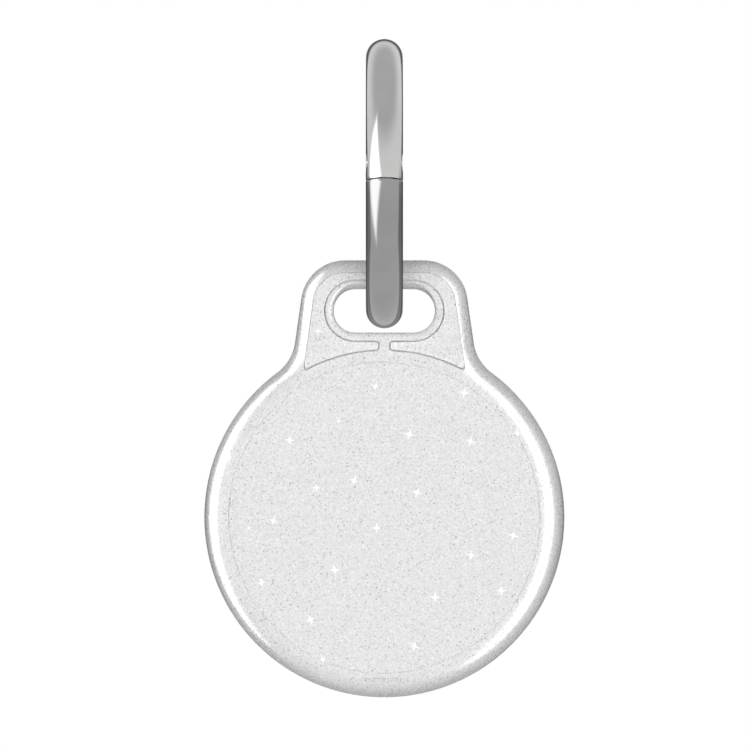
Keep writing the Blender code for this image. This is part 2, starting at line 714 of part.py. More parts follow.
def build_battery(add):
    """The coin cell, from its can to its lid."""
    low, high = BATTERY_FRONT_Y, BATTERY_REAR_Y
    wall, gap = BATTERY_WALL, BATTERY_GAP
    can = [(0, high - wall), (BATTERY_R - wall, high - wall), (BATTERY_R - wall, low + 0.1 * MM)]
    can += [(BATTERY_R, low + 0.1 * MM), (BATTERY_R, high - wall), (BATTERY_R - wall, high), (0, high)]
    add(turned("battery_can", can, closed=False, sides=SMALL_ROUND), "steel")
    inner = BATTERY_R - wall
    lid_r = inner - BATTERY_SEAL - gap
    add(washer("battery_gasket", inner - BATTERY_SEAL, inner - gap, low + 0.15 * MM,
               high - wall - gap, SMALL_ROUND), "frame")
    lid = [(0, low), (lid_r, low), (lid_r, low + 1.6 * MM), (lid_r - wall, low + 1.6 * MM)]
    lid += [(lid_r - wall, low + wall), (0, low + wall)]
    add(turned("battery_lid", lid, closed=False, sides=SMALL_ROUND), "steel")
    cell_r = lid_r - wall - 0.15 * MM
    anode_rear = low + 0.95 * MM
    paper_rear = anode_rear + gap + 0.12 * MM
    add(disc("battery_anode", cell_r, low + wall + gap, anode_rear, SMALL_ROUND), "lithium")
    add(disc("battery_separator", cell_r, anode_rear + gap, paper_rear, SMALL_ROUND), "paper")
    add(disc("battery_cathode", cell_r - 0.3 * MM, paper_rear + gap, high - wall - gap, 36), "cathode")


def battery_cover():
    """The tracker's steel cover: a shallow dish with three bayonet hooks under its rim."""
    edge = 0.35 * MM
    profile = [(0, COVER_FRONT_Y + 0.2 * MM), (COVER_R - 0.6 * MM, COVER_FRONT_Y + 0.2 * MM)]
    profile += [(COVER_R - 0.6 * MM, COVER_FRONT_Y), (COVER_R, COVER_FRONT_Y)]
    profile += [(COVER_R, COVER_REAR_Y - edge), (COVER_R - edge, COVER_REAR_Y), (0, COVER_REAR_Y)]
    cover = turned("battery_cover", profile, closed=False)
    for angle in bayonet_angles():
        stem = sector(HOOK_R[0], HOOK_R[1] + 0.2 * MM, angle, HOOK_HALF_ANGLE, 3)
        foot = front_prism("foot", stem, HOOK_Y[0], COVER_FRONT_Y + 0.4 * MM)
        reach = sector(HOOK_R[1], HOOK_R[2], angle, HOOK_HALF_ANGLE - radians(0.3), 3)
        hook = front_prism("hook", reach, HOOK_Y[0] + 0.02 * MM, HOOK_Y[1])
        cover = boolean(cover, boolean(foot, hook, "UNION"), "UNION")
    return cover


build_ring()
SWING = empty("case_swing", (0, 0, RING_CENTRE_Z))
build_case(SWING)
build_tracker(SWING)
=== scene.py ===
"""The looks of the tracker tag: fine meshes for its case, ring and gate, and every material.

Metres, +Z up, the case's front faces -Y, the origin is the top of the ring's inner side.
"""

import json
from math import asin, atan2, cos, hypot, pi, radians, sin, sqrt, tan
from random import Random

import bmesh
import bpy
from mathutils import Euler, Matrix, Vector

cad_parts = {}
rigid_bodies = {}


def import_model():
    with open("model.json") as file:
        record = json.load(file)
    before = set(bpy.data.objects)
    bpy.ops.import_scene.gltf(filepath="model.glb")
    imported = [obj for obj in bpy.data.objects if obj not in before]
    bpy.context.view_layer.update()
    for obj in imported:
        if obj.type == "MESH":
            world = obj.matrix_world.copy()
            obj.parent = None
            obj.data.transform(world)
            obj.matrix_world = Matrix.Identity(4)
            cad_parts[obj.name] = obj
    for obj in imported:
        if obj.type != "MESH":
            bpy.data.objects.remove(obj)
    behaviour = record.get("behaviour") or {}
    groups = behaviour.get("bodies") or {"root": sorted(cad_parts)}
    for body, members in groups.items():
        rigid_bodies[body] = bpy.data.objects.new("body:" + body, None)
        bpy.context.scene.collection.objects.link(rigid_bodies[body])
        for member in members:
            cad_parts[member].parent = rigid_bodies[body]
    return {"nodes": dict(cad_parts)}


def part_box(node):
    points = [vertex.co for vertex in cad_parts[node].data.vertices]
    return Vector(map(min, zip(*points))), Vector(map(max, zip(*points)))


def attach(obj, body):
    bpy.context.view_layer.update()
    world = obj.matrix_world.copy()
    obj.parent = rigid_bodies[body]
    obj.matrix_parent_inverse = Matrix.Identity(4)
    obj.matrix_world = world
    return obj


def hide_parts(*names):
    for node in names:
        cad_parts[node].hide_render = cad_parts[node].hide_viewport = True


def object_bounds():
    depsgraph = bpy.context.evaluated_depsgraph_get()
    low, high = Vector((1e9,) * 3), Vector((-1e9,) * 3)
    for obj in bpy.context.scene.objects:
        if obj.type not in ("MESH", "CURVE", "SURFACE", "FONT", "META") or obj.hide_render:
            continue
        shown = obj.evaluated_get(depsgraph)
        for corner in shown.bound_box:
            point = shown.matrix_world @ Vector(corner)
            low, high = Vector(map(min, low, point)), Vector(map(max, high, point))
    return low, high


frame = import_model()
CAD_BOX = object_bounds()

MM = 0.001

# ---------------------------------------------------------------- sizes, from the frame

SHELL_LOW, SHELL_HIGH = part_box("front_shell")
RING_LOW, RING_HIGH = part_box("ring_body")
CAP_LOW, CAP_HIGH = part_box("rear_cap")
PIN_LOW, PIN_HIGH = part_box("gate_pin")

CASE_R = (SHELL_HIGH[0] - SHELL_LOW[0]) / 2
CASE_HALF = (SHELL_HIGH[1] - SHELL_LOW[1]) / 2
CASE_Z = SHELL_LOW[2] + CASE_R
TAB_TOP_Z = SHELL_HIGH[2] - CASE_Z

RING_OUTER_R = (RING_HIGH[1] - RING_LOW[1]) / 2
WIRE_R = (RING_HIGH[0] - RING_LOW[0]) / 2
RING_MEAN_R = RING_OUTER_R - WIRE_R
RING_CENTRE_Z = RING_LOW[2] + RING_OUTER_R

PIN = (-(PIN_LOW[1] + PIN_HIGH[1]) / 2, (PIN_LOW[2] + PIN_HIGH[2]) / 2 - RING_CENTRE_Z)
PIN_R = 0.6 * MM
PIN_BORE_R = 0.65 * MM
SINK_R = 1.45 * MM
SINK_DEPTH = 0.3 * MM
KNUCKLE_R = 2.1 * MM
SHOULDER_DISTANCE = 2.26 * MM
SHOULDER_TILT = radians(10.8)
GATE_END_ANGLE = radians(100)
GATE_END = (RING_MEAN_R * cos(GATE_END_ANGLE), RING_MEAN_R * sin(GATE_END_ANGLE))
GATE_LENGTH = hypot(GATE_END[0] - PIN[0], GATE_END[1] - PIN[1])
GATE_LEAN = atan2(GATE_END[1] - PIN[1], GATE_END[0] - PIN[0])
GATE_GAP = 0.24 * MM
GATE_END_HALF_ANGLE = radians(13)
HINGE_CUT_HALF = 4 * MM
TONGUE_R = 1.35 * MM
TONGUE_SLOT_R = 1.6 * MM
TONGUE_HALF = 0.65 * MM
TONGUE_SLOT_HALF = 0.85 * MM
TONGUE_ROOT = 0.8 * MM
TONGUE_START = radians(20)
SPRING_BORE_R = 0.8 * MM
SPRING_BORE_ANGLES = (radians(11), radians(30.5))
RING_EDGE = 0.07 * MM
PIN_EDGE = 0.08 * MM

EDGE_ROUND = 2.9 * MM
TAB_CORNER_X = 4.59 * MM
TAB_CORNER_R = 5.14 * MM
TAB_CORNER_Z = TAB_TOP_Z - TAB_CORNER_R
TAB_FLARE = radians(8.1)
TAB_FILLET_R = 5.25 * MM
TAPER_START_Z = 18.1 * MM
TAPER_SOFT = 2.0 * MM
TAPER_STEP = 0.5 * MM
TAPER_TOP_HALF = 3.8 * MM
SLOT_Z = 24.07 * MM
SLOT_HALF_W = 5.92 * MM
SLOT_HALF_H = 2.54 * MM
SLOT_RIM = 0.93 * MM
SLOT_FLARE = 0.75 * MM
SLOT_ROUND = 0.62 * MM
RECESS_DEPTH = 0.42 * MM
TRENCH = 0.2 * MM
TRENCH_DEPTH = 0.5 * MM
RECESS_CORNER = 0.42 * MM
RECESS_INSET = 1.42 * MM
RECESS_ARC_R = 19.4 * MM
BRIDGE_HALF = 0.54 * MM
DISC_R = 18.1 * MM
DISC_GROOVE = 0.09 * MM
MARK_R = 18.95 * MM
MARK_PITCH = 0.4 * MM
MARK_DEPTH = 0.38 * MM
MARK_COUNT = 13
NICK_HALF = (0.3 * MM, 0.3 * MM, 0.28 * MM)
NICK_TIP = 0.05

CAVITY_R = 16.15 * MM
CAVITY_FRONT_Y = -4.2 * MM
CAP_LEDGE_Y = 2.3 * MM
CAP_BORE_R = 17.55 * MM
CAP_R = (CAP_HIGH[0] - CAP_LOW[0]) / 2
CAP_PLATE = 1.25 * MM
CAP_SKIRT_FRONT_Y = 3.45 * MM
CAP_SKIRT_INNER_R = 16.0 * MM
CAP_ROUND = 0.35 * MM
LUG_R = 18.15 * MM
LUG_Y = (3.6 * MM, 4.4 * MM)
LUG_HALF_ANGLE = radians(9)
LUG_SPARE_ANGLE = radians(1.2)
LUG_ROUND = 0.12 * MM
LUG_ANGLES = [radians(90 + 120 * i) for i in range(3)]
CAP_TWIST = radians(60)
GROOVE_R = 18.4 * MM
GROOVE_CLEARANCE = 0.2 * MM
GRIP_R = 5.0 * MM
GRIP_OFFSET = 9.5 * MM
GRIP_DEPTH = 0.5 * MM
GRIP_ROUND = 0.4 * MM

# The painted glints, white stars laid on the front that glow by emission: how bright the painted
# glow is, how proud, how far they may lean in degrees, and how far the star reaches at each of the
# four points that make a quarter of it.
GLINT_SHINE = 0.9
GLINT_PROUD = 0.01 * MM
GLINT_LEAN = 20
GLINT_REACH = (1.0, 0.26, 0.34, 0.26)

# The studio. Strengths are a sky's; distances and strip sizes are metres; fades are degrees.
FRONT_LIGHT = 2.75
FRONT_FADE = (50, 18)
BACK_LIGHT = 2.8
BACK_FADE = (135, 165)
ROOM_LIGHT = 0.08
ROOM_GLOSS = 0.8
OVERHEAD_GLOSS = 0.53
OVERHEAD_FADE = (20, 50)
SOFTBOX_GLOSS = 1.7
STRIP_DISTANCE = 1.0
STRIP_WIDTH = 0.85
FLOOR_Z = CAD_BOX[0][2] - 32 * MM
FLOOR_R = 0.7
FLOOR_GLOW = 0.88

# The camera looks level along +Y.
CAMERA_DISTANCE = 1.6
VIEW_WIDTH = 87.6 * MM
CAMERA_X = -1.09 * MM
CAMERA_Z = CASE_Z + 16.59 * MM
SENSOR = 36

ROUND = 160
TINY = 1e-7


# ---------------------------------------------------------------- mesh helpers

WORK = bpy.data.collections.new("work")
bpy.context.scene.collection.children.link(WORK)


def object_from(work, name, group):
    """A new object in group from a bmesh, which is used up."""
    mesh = bpy.data.meshes.new(name)
    work.to_mesh(mesh)
    work.free()
    made = bpy.data.objects.new(name, mesh)
    group.objects.link(made)
    return made


def solid(item, name):
    """The evaluated object as a new welded mesh object in world space, facing out."""
    bpy.context.view_layer.update()
    evaluated = item.evaluated_get(bpy.context.evaluated_depsgraph_get())
    mesh = bpy.data.meshes.new_from_object(evaluated)
    mesh.transform(item.matrix_world)
    bpy.data.objects.remove(item, do_unlink=True)
    work = bmesh.new()
    work.from_mesh(mesh)
    bmesh.ops.remove_doubles(work, verts=work.verts, dist=TINY)
    bmesh.ops.recalc_face_normals(work, faces=work.faces)
    work.to_mesh(mesh)
    work.free()
    made = bpy.data.objects.new(name, mesh)
    WORK.objects.link(made)
    return made


def boolean(target, tool, operation="DIFFERENCE"):
    """Cut, join or intersect target with tool, which is used up."""
    modifier = target.modifiers.new(operation.lower(), "BOOLEAN")
    modifier.operation = operation
    modifier.solver = "EXACT"
    modifier.object = tool
    name = target.name
    target.name = name + "_before"
    made = solid(target, name)
    bpy.data.objects.remove(tool, do_unlink=True)
    return made


def finish_piece(item, name, body, nodes, finish, sharp=35, edge=0.0):
    """Shade, paint and hang a finished piece on its body, in place of the CAD nodes it shows."""
    item.name = name
    item.data.name = name
    item.data.materials.clear()
    item.data.materials.append(finish)
    if edge:
        bevel = item.modifiers.new("edge", "BEVEL")
        bevel.width = edge
        bevel.segments = 2
        bevel.limit_method = "ANGLE"
        bevel.angle_limit = radians(50)
        bevel.use_clamp_overlap = True
        bevel.miter_outer = "MITER_ARC"
        item = solid(item, name)
    item.data.shade_smooth()
    item.data.set_sharp_from_angle(angle=radians(sharp))
    WORK.objects.unlink(item)
    bpy.context.scene.collection.objects.link(item)
    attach(item, body)
    if nodes:
        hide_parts(*nodes)
    return item


def flat_curve(points, half, rounding=0.0, steps=4):
    """A filled outline in the XY plane, half thick each way, its edges rounded inwards."""
    data = bpy.data.curves.new("outline", "CURVE")
    data.dimensions = "2D"
    data.fill_mode = "BOTH"
    data.extrude = half - rounding
    data.bevel_depth = rounding
    data.bevel_resolution = steps
    data.offset = -rounding
    spline = data.splines.new("POLY")
    spline.points.add(len(points) - 1)
    for point, (across, up) in zip(spline.points, points):
        point.co = (across, up, 0, 1)
    spline.use_cyclic_u = True
    item = bpy.data.objects.new("outline", data)
    WORK.objects.link(item)
    return item


def front_prism(name, points, low_y, high_y, rounding=0.0, steps=4):
    """A prism of an (x, z) outline of the case, from low_y to high_y."""
    item = flat_curve(points, (high_y - low_y) / 2, rounding, steps)
    item.matrix_world = (Matrix.Translation((0, (low_y + high_y) / 2, CASE_Z))
                         @ Matrix.Rotation(pi / 2, 4, "X"))
    return solid(item, name)


def side_prism(name, points, half):
    """A prism of a ring outline, its points (towards the front, up) from the ring's centre."""
    item = flat_curve([(-front, up) for front, up in points], half)
    turn = Matrix(((0, 0, 1, 0), (1, 0, 0, 0), (0, 1, 0, 0), (0, 0, 0, 1)))
    item.matrix_world = Matrix.Translation((0, 0, RING_CENTRE_Z)) @ turn
    return solid(item, name)


def turned(name, profile, closed=True, sides=ROUND):
    """A profile of (radius, y) points turned about the case's own axis."""
    mesh = bpy.data.meshes.new(name + "_profile")
    edges = [(i, i + 1) for i in range(len(profile) - 1)]
    if closed:
        edges.append((len(profile) - 1, 0))
    mesh.from_pydata([(r, 0, -y) for r, y in profile], edges, [])
    item = bpy.data.objects.new(name + "_profile", mesh)
    WORK.objects.link(item)
    screw = item.modifiers.new("turn", "SCREW")
    screw.steps = sides
    screw.render_steps = sides
    screw.use_merge_vertices = True
    screw.merge_threshold = 1e-6
    item.matrix_world = Matrix.Translation((0, 0, CASE_Z)) @ Matrix.Rotation(pi / 2, 4, "X")
    return solid(item, name)


def disc(name, radius, low_y, high_y):
    """A cylinder round the case's own axis."""
    profile = [(0, low_y), (radius, low_y), (radius, high_y), (0, high_y)]
    return turned(name, profile, closed=False)


def pin_along_x(name, radius, half, front, up):
    """A round bar along X at (front, up) from the ring's centre."""
    bpy.ops.mesh.primitive_cylinder_add(vertices=48, radius=radius, depth=2 * half,
                                        location=(0, -front, RING_CENTRE_Z + up),
                                        rotation=(0, pi / 2, 0))
    return solid(bpy.context.object, name)


def arc(centre, radius, start, end, steps):
    """Points on an arc, from start to end in radians, both ends included."""
    points = []
    for i in range(steps + 1):
        angle = start + (end - start) * i / steps
        points.append((centre[0] + radius * cos(angle), centre[1] + radius * sin(angle)))
    return points


def sector(inner, outer, middle, half, steps):
    """An arc-shaped outline round the case's axis."""
    return (arc((0, 0), outer, middle - half, middle + half, steps)
            + arc((0, 0), inner, middle + half, middle - half, steps))


def stadium(half_w, half_h, centre_z, steps=32):
    """An outline with straight sides and half-round ends."""
    flat = half_w - half_h
    return (arc((flat, centre_z), half_h, -pi / 2, pi / 2, steps)
            + arc((-flat, centre_z), half_h, pi / 2, 3 * pi / 2, steps))


def loft(name, sections):
    """A closed solid through sections, each a y and its (x, z) outline, all of the same length."""
    work = bmesh.new()
    rings = []
    for y, outline in sections:
        rings.append([work.verts.new((x, y, CASE_Z + z)) for x, z in outline])
    count = len(rings[0])
    for low, high in zip(rings, rings[1:]):
        for i in range(count):
            j = (i + 1) % count
            work.faces.new((low[i], low[j], high[j], high[i]))
    work.faces.new(rings[0])
    work.faces.new(rings[-1])
    return solid(object_from(work, name, WORK), name)


def soften(points, radius, steps=6):
    """Round each sharp corner of a closed outline to about this radius."""
    count = len(points)
    rounded = []
    for i, here in enumerate(points):
        before = Vector(points[i - 1])
        after = Vector(points[(i + 1) % count])
        here = Vector(here)
        arriving = (here - before).normalized()
        leaving = (after - here).normalized()
        turn = arriving.angle(leaving, 0)
        if turn < radians(28):
            rounded.append((here.x, here.y))
            continue
        reach = radius * tan(turn / 2)
        start = here - arriving * min(reach, (here - before).length * 0.45)
        end = here + leaving * min(reach, (after - here).length * 0.45)
        for k in range(steps + 1):
            t = k / steps
            spot = start * (1 - t) ** 2 + here * 2 * t * (1 - t) + end * t ** 2
            rounded.append((spot.x, spot.y))
    return rounded


# ---------------------------------------------------------------- materials

def add_math(tree, operation, first, second):
    """A maths node in tree, whose inputs are numbers or the outputs of other nodes."""
    node = tree.nodes.new("ShaderNodeMath")
    node.operation = operation
    for socket, value in zip(node.inputs, (first, second)):
        if isinstance(value, (int, float)):
            socket.default_value = value
        else:
            tree.links.new(value, socket)
    return node.outputs[0]


class Nodes:
    """A material's node tree, with short calls for the nodes that the finishes share."""

    def __init__(self, name, colour, roughness, metallic=0.0):
        self.material = bpy.data.materials.new(name)
        self.material.use_nodes = True
        self.tree = self.material.node_tree
        self.shader = self.tree.nodes["Principled BSDF"]
        self.set("Base Color", (*colour, 1.0))
        self.set("Roughness", roughness)
        self.set("Metallic", metallic)
        self.coords = self.tree.nodes.new("ShaderNodeTexCoord").outputs["Object"]

    def set(self, socket, value):
        self.shader.inputs[socket].default_value = value

    def link(self, source, socket):
        self.tree.links.new(source, self.shader.inputs[socket])

    def noise(self, size, detail=2.0, rough=0.5):
        node = self.tree.nodes.new("ShaderNodeTexNoise")
        node.inputs["Scale"].default_value = 1 / size
        node.inputs["Detail"].default_value = detail
        node.inputs["Roughness"].default_value = rough
        self.tree.links.new(self.coords, node.inputs["Vector"])
        return node.outputs["Fac"]

    def cells(self, size):
        """Cells of about this size: the distance to each cell's centre, and a random colour."""
        node = self.tree.nodes.new("ShaderNodeTexVoronoi")
        node.inputs["Scale"].default_value = 1 / size
        self.tree.links.new(self.coords, node.inputs["Vector"])
        return node.outputs["Distance"], node.outputs["Color"]

    def span(self, source, low, high, to_low=0.0, to_high=1.0):
        """A straight, clamped change from to_low to to_high as source goes from low to high."""
        node = self.tree.nodes.new("ShaderNodeMapRange")
        node.inputs["From Min"].default_value = low
        node.inputs["From Max"].default_value = high
        node.inputs["To Min"].default_value = to_low
        node.inputs["To Max"].default_value = to_high
        self.tree.links.new(source, node.inputs["Value"])
        return node.outputs["Result"]

    def math(self, operation, first, second):
        return add_math(self.tree, operation, first, second)

    def mix(self, factor, first, second):
        """The first colour where factor is 0, the second where it is 1."""
        node = self.tree.nodes.new("ShaderNodeMix")
        node.data_type = "RGBA"
        self.tree.links.new(factor, node.inputs["Factor"])
        for socket, value in ((node.inputs[6], first), (node.inputs[7], second)):
            if isinstance(value, tuple):
                socket.default_value = (*value, 1.0)
            else:
                self.tree.links.new(value, socket)
        return node.outputs[2]

    def separate(self, colour):
        node = self.tree.nodes.new("ShaderNodeSeparateColor")
        self.tree.links.new(colour, node.inputs["Color"])
        return node.outputs

    def bump(self, height, distance, strength=1.0):
        node = self.tree.nodes.new("ShaderNodeBump")
        node.inputs["Distance"].default_value = distance
        node.inputs["Strength"].default_value = strength
        self.tree.links.new(height, node.inputs["Height"])
        self.link(node.outputs["Normal"], "Normal")


def scaled(colour, factor):
    """A colour made lighter or darker, no brighter than white."""
    return tuple(min(1.0, part * factor) for part in colour)


def glitter_plastic(name):
    """Milky gloss plastic filled with fine silver flakes: most grey, a few dark, a few bright."""
    made = Nodes(name, (0.83, 0.83, 0.83), 0.3)
    milk = made.noise(0.3 * MM, 3.0, 0.7)
    base = made.mix(made.span(milk, 0.3, 0.7), (0.79, 0.79, 0.785), (0.9, 0.9, 0.9))
    distance, random = made.cells(0.18 * MM)
    red, green, blue = made.separate(random)[:3]
    core = made.span(distance, 0.6, 0.45)
    pale = made.math("MULTIPLY", core, made.span(blue, 0.25, 1.0))
    dark = made.math("MULTIPLY", core, made.span(red, 0.93, 1.0))
    bright = made.math("MULTIPLY", core, made.span(green, 0.8, 1.0))
    base = made.mix(pale, base, (0.64, 0.64, 0.635))
    base = made.mix(dark, base, (0.36, 0.36, 0.35))
    base = made.mix(bright, base, (1.0, 1.0, 1.0))
    made.link(base, "Base Color")
    made.link(made.span(milk, 0.25, 0.75, 0.2, 0.36), "Roughness")
    made.set("Specular IOR Level", 0.35)
    made.set("Coat Weight", 0.35)
    made.set("Coat Roughness", 0.08)
    grain = made.math("ADD", milk, made.math("MULTIPLY", core, 0.6))
    made.bump(grain, 0.012 * MM, 0.5)
    return made


def polished_metal(name, colour, roughness):
    """Plated or polished metal: nearly even, with a slight haze in patches."""
    made = Nodes(name, colour, roughness, 1.0)
    haze = made.noise(3.5 * MM, 2.0)
    fine = made.noise(0.12 * MM, 2.0)
    tint = made.mix(made.span(haze, 0.3, 0.7), scaled(colour, 0.96), scaled(colour, 1.03))
    made.link(tint, "Base Color")
    made.link(made.span(haze, 0.3, 0.7, roughness * 0.8, roughness * 1.25), "Roughness")
    made.bump(fine, 0.002 * MM, 0.25)
    return made.material


def brushed(name, colour, roughness):
    """Plain worked steel: fine lines across one way, and patches of duller metal."""
    made = Nodes(name, colour, roughness, 1.0)
    stretch = made.tree.nodes.new("ShaderNodeMapping")
    stretch.inputs["Scale"].default_value = (1.0, 1.0, 0.06)
    made.tree.links.new(made.coords, stretch.inputs["Vector"])
    made.coords = stretch.outputs["Vector"]
    lines = made.noise(0.08 * MM, 3.0)
    tint = made.mix(made.span(lines, 0.3, 0.7), scaled(colour, 0.9), scaled(colour, 1.06))
    made.link(tint, "Base Color")
    made.link(made.span(lines, 0.3, 0.7, roughness * 0.8, roughness * 1.3), "Roughness")
    made.bump(lines, 0.004 * MM, 0.4)
    return made.material


def moulded(name, colour, roughness, grain=0.25, metallic=0.0):
    """A moulded or pressed surface: a fine grain, slight colour drift and uneven gloss."""
    made = Nodes(name, colour, roughness, metallic)
    drift = made.noise(4.0 * MM, 2.0)
    fine = made.noise(grain * MM, 3.0)
    tint = made.mix(made.span(drift, 0.3, 0.7), scaled(colour, 0.93), scaled(colour, 1.05))
    made.link(tint, "Base Color")
    made.link(made.span(fine, 0.3, 0.7, roughness * 0.85, min(1.0, roughness * 1.2)), "Roughness")
    made.bump(fine, 0.01 * MM, 0.35)
    return made.material


def glint_plastic():
    """The same plastic with a painted glint: it glows white by emission, brightest at its heart."""
    made = glitter_plastic("glint_plastic")
    shine = made.tree.nodes.new("ShaderNodeAttribute")
    shine.attribute_name = "shine"
    # Painted glint: a white emission, strongest at each star's heart where shine is 1, fading to
    # none at its points.
    made.set("Emission Color", (1.0, 1.0, 1.0, 1.0))
    made.link(made.math("MULTIPLY", shine.outputs["Fac"], GLINT_SHINE), "Emission Strength")
    return made.material


GLINT = glint_plastic()
GLITTER = glitter_plastic("glitter_plastic").material
BODY_CHROME = polished_metal("body_chrome", (0.38, 0.38, 0.38), 0.1)
GATE_CHROME = polished_metal("gate_chrome", (0.68, 0.68, 0.675), 0.1)
PIN_STEEL = polished_metal("pin_steel", (0.95, 0.95, 0.94), 0.12)


# ---------------------------------------------------------------- ring, gate and pin

def ring_torus(name):
    """The whole ring, before it is parted into its body and gate."""
    bpy.ops.mesh.primitive_torus_add(major_segments=168, minor_segments=44,
                                     major_radius=RING_MEAN_R, minor_radius=WIRE_R,
                                     location=(0, 0, RING_CENTRE_Z), rotation=(0, pi / 2, 0))
    return solid(bpy.context.object, name)


def gate_outline(knuckle, length):
    """The gate's region of the ring: a round knuckle at the pin, and an end that swings on it."""
    along = (cos(SHOULDER_TILT), sin(SHOULDER_TILT))
    down = (sin(SHOULDER_TILT), -cos(SHOULDER_TILT))
    touch = (PIN[0] + knuckle * down[0], PIN[1] + knuckle * down[1])
    reach = 4 * MM
    outer = (touch[0] + reach * along[0], touch[1] + reach * along[1])
    points = [outer]
    points += arc(PIN, knuckle, atan2(down[1], down[0]), -pi, 24)
    inside = (6 * MM, 4 * MM)
    outside = (outer[0], 16 * MM)
    points.append(inside)
    points += arc(PIN, length, GATE_LEAN + GATE_END_HALF_ANGLE, GATE_LEAN - GATE_END_HALF_ANGLE, 20)
    points.append(outside)
    return points


def tongue_slot_outline():
    """The slot in the gate's knuckle that the body's tongue fits, open below and inwards."""
    reach = 7 * MM
    depth = 4 * MM
    points = arc(PIN, TONGUE_SLOT_R, 0, pi, 28)
    points += [(PIN[0] - reach, PIN[1]), (PIN[0] - reach, PIN[1] - depth)]
    points.append((PIN[0] + TONGUE_SLOT_R, PIN[1] - depth))
    return points


def tongue_outline():
    """The body's tongue, round at the pin and rooted below the gate's shoulder."""
    root = PIN[1] - SHOULDER_DISTANCE - TONGUE_ROOT
    points = arc(PIN, TONGUE_R, -TONGUE_START, pi, 30)
    points += [(PIN[0] - TONGUE_R, root), (PIN[0] + TONGUE_R * cos(TONGUE_START), root)]
    return points


def arc_tube(name, radius, start, end):
    """A tube along the ring's own arc."""
    data = bpy.data.curves.new(name, "CURVE")
    data.dimensions = "3D"
    data.bevel_depth = radius
    data.bevel_resolution = 8
    data.use_fill_caps = True
    points = arc((0, 0), RING_MEAN_R, start, end, 16)
    spline = data.splines.new("POLY")
    spline.points.add(len(points) - 1)
    for point, (front, up) in zip(spline.points, points):
        point.co = (0, -front, RING_CENTRE_Z + up, 1)
    item = bpy.data.objects.new(name + "_curve", data)
    WORK.objects.link(item)
    return solid(item, name)


def build_ring():
    """The ring's body: the opening for the gate, a tongue that holds the pin, and its bore."""
    body = ring_torus("ring")
    opening = gate_outline(SHOULDER_DISTANCE, GATE_LENGTH + GATE_GAP / 2)
    body = boolean(body, side_prism("opening", opening, HINGE_CUT_HALF))
    body = boolean(body, side_prism("tongue", tongue_outline(), TONGUE_HALF), "UNION")
    body = boolean(body, pin_along_x("bore", PIN_BORE_R, HINGE_CUT_HALF, *PIN))
    finish_piece(body, "ring_polished", "ring", ["ring_body"], BODY_CHROME, 30, RING_EDGE)


def countersink(side):
    """A cone that opens the pin's hole towards one cheek, so that the pin's head shows."""
    bpy.ops.mesh.primitive_cone_add(vertices=48, radius1=SINK_R, radius2=0.5 * SINK_R,
                                    depth=SINK_DEPTH * 2,
                                    location=(side * WIRE_R, -PIN[0], RING_CENTRE_Z + PIN[1]),
                                    rotation=(0, -side * pi / 2, 0))
    return solid(bpy.context.object, "sink")


def build_gate():
    """The gate: slotted for the tongue, bored for spring and pin, countersunk on both cheeks."""
    gate = ring_torus("gate")
    region = gate_outline(KNUCKLE_R, GATE_LENGTH - GATE_GAP / 2)
    gate = boolean(gate, side_prism("region", region, HINGE_CUT_HALF), "INTERSECT")
    gate = boolean(gate, side_prism("slot", tongue_slot_outline(), TONGUE_SLOT_HALF))
    gate = boolean(gate, arc_tube("spring_bore", SPRING_BORE_R, *SPRING_BORE_ANGLES))
    gate = boolean(gate, pin_along_x("bore", PIN_BORE_R, HINGE_CUT_HALF, *PIN))
    for side in (-1, 1):
        gate = boolean(gate, countersink(side))
    finish_piece(gate, "gate_polished", "gate", ["ring_gate"], GATE_CHROME, 30, RING_EDGE)


def build_pin():
    pin = pin_along_x("pin", PIN_R, (PIN_HIGH[0] - PIN_LOW[0]) / 2, *PIN)
    finish_piece(pin, "pin_peened", "ring", ["gate_pin"], PIN_STEEL, 35, PIN_EDGE)


# ---------------------------------------------------------------- case

TAB_NORMAL = (cos(TAB_FLARE), sin(TAB_FLARE))
TAB_ALONG = (sin(TAB_FLARE), -cos(TAB_FLARE))
TAB_LINE = TAB_CORNER_X * TAB_NORMAL[0] + TAB_CORNER_Z * TAB_NORMAL[1] + TAB_CORNER_R


def on_tab_line(offset, radius):
    """Where the tab's side line, moved out by offset, crosses a circle round the case's centre."""
    line = TAB_LINE + offset
    run = -sqrt(radius ** 2 - line ** 2)
    return (line * TAB_NORMAL[0] + run * TAB_ALONG[0], line * TAB_NORMAL[1] + run * TAB_ALONG[1])


def case_outline():
    """The front silhouette: a round body that runs into a tab through concave fillets."""
    fillet = on_tab_line(TAB_FILLET_R, CASE_R + TAB_FILLET_R)
    meet = atan2(fillet[1], fillet[0])
    right = arc((TAB_CORNER_X, TAB_CORNER_Z), TAB_CORNER_R, pi / 2, TAB_FLARE, 26)
    right += arc(fillet, TAB_FILLET_R, pi + TAB_FLARE, pi + meet, 16)
    body = arc((0, 0), CASE_R, meet, -pi / 2, 104)
    right += body[1:]
    left = [(-x, z) for x, z in reversed(right[:-1])]
    return right + left


